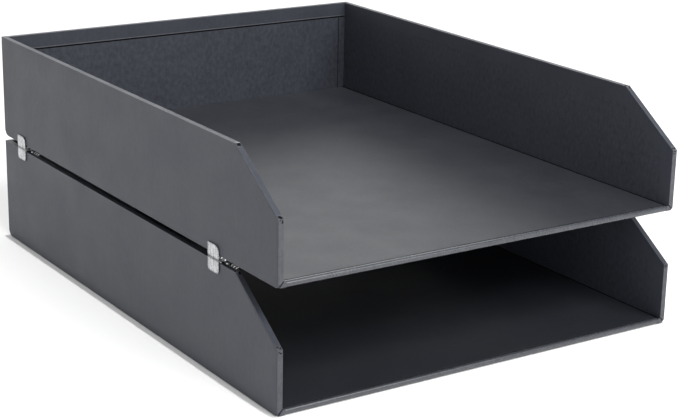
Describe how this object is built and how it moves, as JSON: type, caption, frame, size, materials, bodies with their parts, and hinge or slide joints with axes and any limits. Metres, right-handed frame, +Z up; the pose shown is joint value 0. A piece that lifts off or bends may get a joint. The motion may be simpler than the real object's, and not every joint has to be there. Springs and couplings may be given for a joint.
{
  "type": "letter tray",
  "caption": "Stacked open-fronted letter trays in dark grey paper-covered board, with sloped front corners, held a small gap apart by bent sheet-steel clips on their side walls.",
  "frame": {"origin": "middle of the stack's outline, on the surface that the lower tray stands on", "axes": "+X towards the right side wall, +Y towards the back wall (the open front faces -Y), +Z up"},
  "size_m": [0.2496, 0.323, 0.1254],
  "materials": {
    "cover_paper": "matte",
    "liner_paper": "matte",
    "grey_board": "matte",
    "corner_tape": "matte",
    "plated_steel": "satin"
  },
  "bodies": {
    "lower_tray": {"lower_base_board": "grey_board", "lower_back_board": "grey_board", "lower_left_board": "grey_board", "lower_right_board": "grey_board", "lower_left_corner_stay": "corner_tape", "lower_right_corner_stay": "corner_tape", "lower_side_wrap": "cover_paper", "lower_base_wrap": "cover_paper", "lower_floor_liner": "liner_paper", "lower_back_liner": "liner_paper", "lower_left_liner": "liner_paper", "lower_right_liner": "liner_paper"},
    "upper_tray": {"upper_base_board": "grey_board", "upper_back_board": "grey_board", "upper_left_board": "grey_board", "upper_right_board": "grey_board", "upper_left_corner_stay": "corner_tape", "upper_right_corner_stay": "corner_tape", "upper_side_wrap": "cover_paper", "upper_base_wrap": "cover_paper", "upper_floor_liner": "liner_paper", "upper_back_liner": "liner_paper", "upper_left_liner": "liner_paper", "upper_right_liner": "liner_paper"},
    "front_left_clip": {"front_left_clip": "plated_steel"},
    "front_right_clip": {"front_right_clip": "plated_steel"},
    "rear_left_clip": {"rear_left_clip": "plated_steel"},
    "rear_right_clip": {"rear_right_clip": "plated_steel"}
  },
  "joints": [
    {"name": "upper_tray_lift", "type": "slide", "parent": "lower_tray", "child": "upper_tray", "axis": [0, 0, 1], "range_m": [0, 0.08]},
    {"name": "front_left_clip_pull", "type": "slide", "parent": "lower_tray", "child": "front_left_clip", "axis": [0, 0, 1], "range_m": [0, 0.02]},
    {"name": "front_right_clip_pull", "type": "slide", "parent": "lower_tray", "child": "front_right_clip", "axis": [0, 0, 1], "range_m": [0, 0.02]},
    {"name": "rear_left_clip_pull", "type": "slide", "parent": "lower_tray", "child": "rear_left_clip", "axis": [0, 0, 1], "range_m": [0, 0.02]},
    {"name": "rear_right_clip_pull", "type": "slide", "parent": "lower_tray", "child": "rear_right_clip", "axis": [0, 0, 1], "range_m": [0, 0.02]}
  ],
  "couplings": [
    {"joint": "front_left_clip_pull", "follows": "upper_tray_lift", "ratio": 0.25},
    {"joint": "front_right_clip_pull", "follows": "upper_tray_lift", "ratio": 0.25},
    {"joint": "rear_left_clip_pull", "follows": "upper_tray_lift", "ratio": 0.25},
    {"joint": "rear_right_clip_pull", "follows": "upper_tray_lift", "ratio": 0.25}
  ]
}
